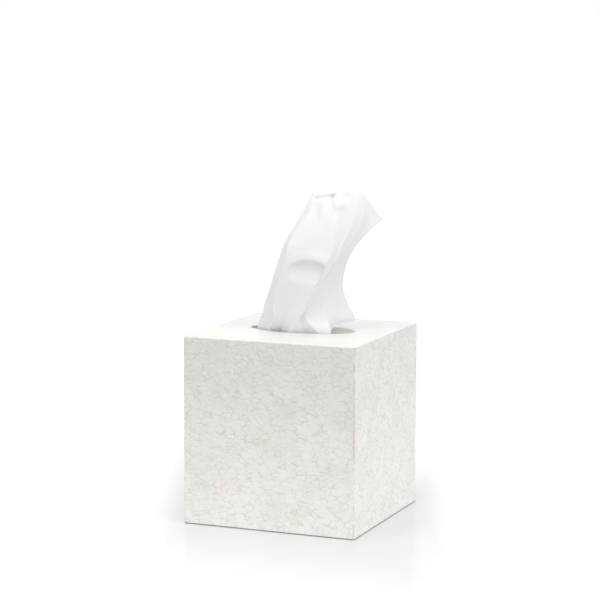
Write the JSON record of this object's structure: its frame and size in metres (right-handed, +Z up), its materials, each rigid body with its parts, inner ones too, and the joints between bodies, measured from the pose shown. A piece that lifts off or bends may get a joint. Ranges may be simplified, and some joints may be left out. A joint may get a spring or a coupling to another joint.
{
  "type": "tissue box",
  "caption": "Square lacquered tissue box cover with an oval mouth over a refill carton, with one tissue standing out of the top.",
  "frame": {"origin": "on the table, under the middle of the square cover", "axes": "+Z up through the mouth, +Y away from the front, the mouth's long axis along X"},
  "size_m": [0.14, 0.14, 0.2551],
  "materials": {
    "lacquer": "white crackle lacquer, satin",
    "carton_board": "uncoated white paperboard",
    "clear_film": "clear thin film",
    "tissue_paper": "soft matt tissue"
  },
  "bodies": {
    "root": {"cover": "lacquer", "carton": "carton_board", "film": "clear_film", "tissue_clip": "tissue_paper", "tissue": "tissue_paper"}
  },
  "joints": []
}
